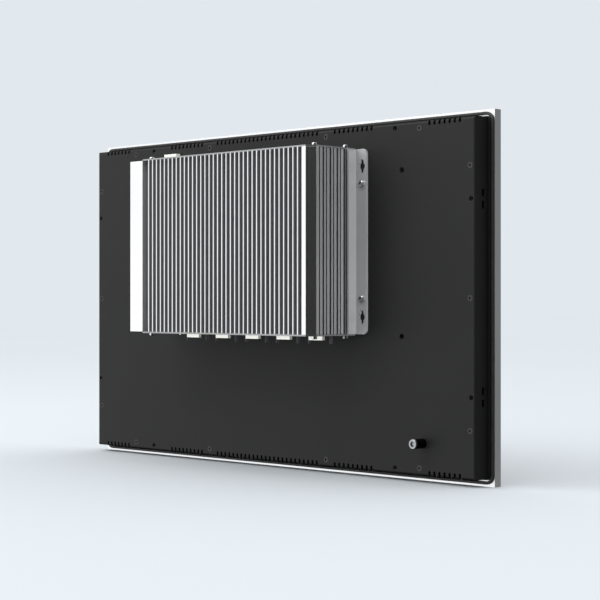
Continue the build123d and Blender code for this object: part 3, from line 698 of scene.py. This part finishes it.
class PANEL_OT_ports(bpy.types.Operator):
    """Finish the sockets and their posts"""

    bl_idname = "panel.ports"
    bl_label = "Sockets"

    def execute(self, context):
        finish = metal()
        moulding = plastic()
        dress(("port_shells",), plated_metal("port_plate", finish.port, finish.port_roughness),
              finish.port_edge)
        dress(("port_inserts",),
              moulded_plastic("port_moulding", moulding.insert, moulding.insert_roughness),
              finish.port_edge)
        dress(("jack_posts",),
              plated_metal("post_plate", finish.post, finish.post_roughness,
                           finish.post_metal), finish.small_edge)
        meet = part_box("link_socket")[1].y - contacts().shroud
        dress(("link_socket",),
              two_shot("socket_moulding", moulding.pale, moulding.chip, meet,
                       moulding.socket_roughness), moulding.moulding_edge)
        return {"FINISHED"}


def skin_rings(patch, rings):
    """Skins a run of four-cornered rings and closes both ends."""
    for before, after in zip(rings, rings[1:]):
        for i in range(4):
            j = (i + 1) % 4
            patch.faces.new((before[i], before[j], after[j], after[i]))
    patch.faces.new(reversed(rings[0]))
    patch.faces.new(rings[-1])


def add_spring(patch, across, wall, inward, mouth):
    """Contact spring: a strip that bulges out of the slot's wall and flares back at the mouth."""
    sizes = contacts()
    half = sizes.spring_width / 2
    rings = []
    for stand, height in SPRING_PROFILE:
        near = wall + inward * stand * MM
        far = near + inward * sizes.sheet
        up = mouth + height * MM
        rings.append([patch.verts.new(corner) for corner in
                      ((across - half, near, up), (across + half, near, up),
                       (across + half, far, up), (across - half, far, up))])
    skin_rings(patch, rings)


def add_pin(patch, across, middle, bottom, length):
    """Square contact pin with a tapered tip."""
    half = contacts().pin_width / 2
    rings = []
    for share, height in PIN_PROFILE:
        side = half * share
        up = bottom + length * height
        rings.append([patch.verts.new(corner) for corner in
                      ((across - side, middle - side, up), (across + side, middle - side, up),
                       (across + side, middle + side, up), (across - side, middle + side, up))])
    skin_rings(patch, rings)


def place_piece(name, patch, material):
    """Turns a finished patch into a piece that rides with the panel."""
    bmesh.ops.recalc_face_normals(patch, faces=patch.faces)
    mesh = bpy.data.meshes.new(name)
    patch.to_mesh(mesh)
    patch.free()
    mesh.materials.append(material)
    piece = bpy.data.objects.new(name, mesh)
    bpy.context.scene.collection.objects.link(piece)
    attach(piece, "root")


def spaced(count, pitch, middle):
    """Places of a centred row."""
    return [middle + (i - (count - 1) / 2) * pitch for i in range(count)]


class PANEL_OT_contacts(bpy.types.Operator):
    """Build the springs in the port slots and the pins in the top socket"""

    bl_idname = "panel.contacts"
    bl_label = "Contacts"

    def execute(self, context):
        sizes = contacts()
        gilt = plated_metal("contact_gilt", metal().gold, metal().gold_roughness)
        round_edges(gilt, metal().contact_edge)
        low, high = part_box("port_shells")
        middle = (low.y + high.y) / 2
        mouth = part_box("port_inserts")[0].z
        pitch = (high.x - low.x - sizes.port_width) / (sizes.ports - 1)
        springs = bmesh.new()
        for port in spaced(sizes.ports, pitch, (low.x + high.x) / 2):
            for across in spaced(sizes.springs, sizes.spring_pitch, port):
                for inward in (-1, 1):
                    wall = middle - inward * sizes.slot_height / 2
                    add_spring(springs, across, wall, inward, mouth)
        place_piece("port_springs", springs, gilt)

        low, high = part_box("link_socket")
        bottom = high.z - sizes.recess
        pins = bmesh.new()
        for across in spaced(sizes.pins, sizes.pin_pitch, (low.x + high.x) / 2):
            add_pin(pins, across, (low.y + high.y) / 2, bottom,
                    sizes.recess - sizes.pin_drop)
        place_piece("link_pins", pins, gilt)
        return {"FINISHED"}


class PANEL_OT_boards(bpy.types.Operator):
    """Finish the boards and what sits on them"""

    bl_idname = "panel.boards"
    bl_label = "Boards"

    def execute(self, context):
        finish = metal()
        moulding = plastic()
        dress(BOARD_NODES, circuit_board("solder_mask", moulding.mask), finish.small_edge)
        dress(("processor",),
              moulded_plastic("chip_epoxy", moulding.chip, moulding.chip_roughness),
              moulding.moulding_edge)
        dress(("drive",),
              drawn_metal("drive_case", finish.zinc, finish.case_roughness,
                          finish.draw_line, 0), finish.case_edge)
        return {"FINISHED"}


def soft_light(name, place, aim, size, power):
    """Flat soft light that looks at a point."""
    lamp = bpy.data.lights.new(name, "AREA")
    lamp.shape = "RECTANGLE"
    lamp.size = size[0]
    lamp.size_y = size[1]
    lamp.energy = power
    light = bpy.data.objects.new(name, lamp)
    bpy.context.scene.collection.objects.link(light)
    light.location = place
    light.rotation_euler = (Vector(aim) - Vector(place)).to_track_quat("-Z", "Y").to_euler()
    return light


def spare_floor(light, floor):
    """A light near the object leaves the floor as even as the room does."""
    lit = bpy.data.collections.new("all_but_floor")
    lit.objects.link(floor)
    light.light_linking.receiver_collection = lit
    lit.collection_objects[0].light_linking.link_state = "EXCLUDE"


def link_light(light):
    """The side light reaches only bare metal, past the panel that stands in its way."""
    lit = bpy.data.collections.new("side_lit")
    for name in BARE_METAL_NODES:
        lit.objects.link(frame["nodes"][name])
    shading = bpy.data.collections.new("side_shading")
    shading.objects.link(frame["nodes"]["finned_cover"])
    light.light_linking.receiver_collection = lit
    light.light_linking.blocker_collection = shading


def glow(tree, direction, aim, start, full, strength):
    """Light of the surround that grows from a start towards an aim."""
    dot = tree.nodes.new("ShaderNodeVectorMath")
    dot.operation = "DOT_PRODUCT"
    dot.inputs[1].default_value = Vector(aim).normalized()
    tree.links.new(direction, dot.inputs[0])
    ramp = tree.nodes.new("ShaderNodeMapRange")
    ramp.interpolation_type = "SMOOTHSTEP"
    ramp.inputs["From Min"].default_value = start
    ramp.inputs["From Max"].default_value = full
    ramp.inputs["To Max"].default_value = strength
    tree.links.new(dot.outputs["Value"], ramp.inputs["Value"])
    return ramp.outputs["Result"]


def light_world(scene, setup):
    """White room. Mirrored in metal it is bright at the left, dim at the right, fair overhead."""
    world = bpy.data.worlds.new("studio")
    scene.world = world
    world.use_nodes = True
    tree = world.node_tree
    room = tree.nodes["Background"]
    room.inputs["Color"].default_value = (1.0, 1.0, 1.0, 1.0)
    mirrored = tree.nodes.new("ShaderNodeBackground")
    mirrored.inputs["Color"].default_value = (0.99, 0.995, 1.0, 1.0)
    coords = tree.nodes.new("ShaderNodeTexCoord")
    direction = coords.outputs["Generated"]
    total = None
    for name, aim, start, full in ROOM_GLOWS:
        part = glow(tree, direction, aim, start, full, getattr(setup, name))
        add = tree.nodes.new("ShaderNodeMath")
        add.operation = "ADD"
        add.inputs[1].default_value = setup.surround
        tree.links.new(part, add.inputs[0])
        if total is not None:
            tree.links.new(total, add.inputs[1])
        total = add.outputs["Value"]
    path = tree.nodes.new("ShaderNodeLightPath")
    deep = tree.nodes.new("ShaderNodeMath")
    deep.operation = "GREATER_THAN"
    deep.inputs[1].default_value = MIRRORED_TWICE
    tree.links.new(path.outputs["Ray Depth"], deep.inputs[0])
    share = tree.nodes.new("ShaderNodeMapRange")
    share.inputs["To Min"].default_value = 1.0
    share.inputs["To Max"].default_value = setup.inner
    tree.links.new(deep.outputs["Value"], share.inputs["Value"])
    level = tree.nodes.new("ShaderNodeMath")
    level.operation = "MULTIPLY"
    tree.links.new(total, level.inputs[0])
    tree.links.new(share.outputs["Result"], level.inputs[1])
    tree.links.new(level.outputs["Value"], mirrored.inputs["Strength"])
    mix = tree.nodes.new("ShaderNodeMixShader")
    tree.links.new(path.outputs["Is Glossy Ray"], mix.inputs["Fac"])
    tree.links.new(room.outputs["Background"], mix.inputs[1])
    tree.links.new(mirrored.outputs["Background"], mix.inputs[2])
    seen = tree.nodes.new("ShaderNodeBackground")
    seen.inputs["Color"].default_value = (*setup.backdrop, 1.0)
    show = tree.nodes.new("ShaderNodeMixShader")
    tree.links.new(path.outputs["Is Camera Ray"], show.inputs["Fac"])
    tree.links.new(mix.outputs["Shader"], show.inputs[1])
    tree.links.new(seen.outputs["Background"], show.inputs[2])
    tree.links.new(show.outputs["Shader"], tree.nodes["World Output"].inputs["Surface"])


class PANEL_OT_studio(bpy.types.Operator):
    """Set up the floor, the lights and the camera"""

    bl_idname = "panel.studio"
    bl_label = "Studio"

    def execute(self, context):
        setup = studio()
        scene = context.scene
        low = Vector(CAD_BOX[0])
        mesh = bpy.data.meshes.new("floor")
        patch = bmesh.new()
        bmesh.ops.create_grid(patch, x_segments=2, y_segments=2, size=FLOOR_HALF_SIZE)
        bmesh.ops.translate(patch, vec=(0.0, 0.0, low.z), verts=patch.verts)
        patch.to_mesh(mesh)
        patch.free()
        floor = bpy.data.objects.new("floor", mesh)
        scene.collection.objects.link(floor)
        mesh.materials.append(floor_paint("floor_pale", setup.backdrop))
        floor.visible_glossy = False

        light_world(scene, setup)
        soft_light("key_light", *KEY_LIGHT, setup.key)
        spare_floor(soft_light("top_light", *TOP_LIGHT, setup.top), floor)
        link_light(soft_light("side_light", *SIDE_LIGHT, setup.side))

        optics = bpy.data.cameras.new("camera")
        optics.lens = setup.lens
        optics.sensor_width = SENSOR_WIDTH
        optics.shift_x = HALF_POINT_SHIFT
        optics.dof.use_dof = False
        camera = bpy.data.objects.new("camera", optics)
        scene.collection.objects.link(camera)
        camera.location = (setup.eye_x, setup.eye_y, setup.eye_z)
        heading = Vector((math.sin(setup.heading), -math.cos(setup.heading), 0.0))
        camera.rotation_euler = heading.to_track_quat("-Z", "Y").to_euler()
        scene.camera = camera
        scene.view_settings.view_transform = "Standard"
        return {"FINISHED"}


class PANEL_PT_sidebar(bpy.types.Panel):
    """Lists the steps that dress the panel computer"""

    bl_idname = "PANEL_PT_sidebar"
    bl_label = "Panel computer"
    bl_space_type = "VIEW_3D"
    bl_region_type = "UI"
    bl_category = "Panel computer"

    def draw(self, context):
        for operator in OPERATORS:
            self.layout.operator(operator.bl_idname)
        for group in (coat(), metal(), plastic(), contacts(), studio()):
            column = self.layout.column(align=True)
            for name in group.__annotations__:
                column.prop(group, name)


OPERATORS = (PANEL_OT_sheet, PANEL_OT_seal, PANEL_OT_front, PANEL_OT_cover, PANEL_OT_brackets,
             PANEL_OT_fasteners, PANEL_OT_ports, PANEL_OT_contacts, PANEL_OT_boards,
             PANEL_OT_studio)
GROUPS = (("panel_coat", CoatFinish), ("panel_metal", MetalFinish),
          ("panel_plastic", PlasticFinish), ("panel_contacts", ContactSizes),
          ("panel_studio", StudioSetup))


def register():
    for name, group in GROUPS:
        bpy.utils.register_class(group)
        setattr(bpy.types.Scene, name, PointerProperty(type=group))
    for operator in OPERATORS:
        bpy.utils.register_class(operator)
    bpy.utils.register_class(PANEL_PT_sidebar)


def unregister():
    bpy.utils.unregister_class(PANEL_PT_sidebar)
    for operator in reversed(OPERATORS):
        bpy.utils.unregister_class(operator)
    for name, group in reversed(GROUPS):
        delattr(bpy.types.Scene, name)
        bpy.utils.unregister_class(group)


def main():
    register()
    bpy.ops.panel.sheet()
    bpy.ops.panel.seal()
    bpy.ops.panel.front()
    bpy.ops.panel.cover()
    bpy.ops.panel.brackets()
    bpy.ops.panel.fasteners()
    bpy.ops.panel.ports()
    bpy.ops.panel.contacts()
    bpy.ops.panel.boards()
    bpy.ops.panel.studio()
    bpy.context.view_layer.update()


if __name__ == "__main__":
    main()
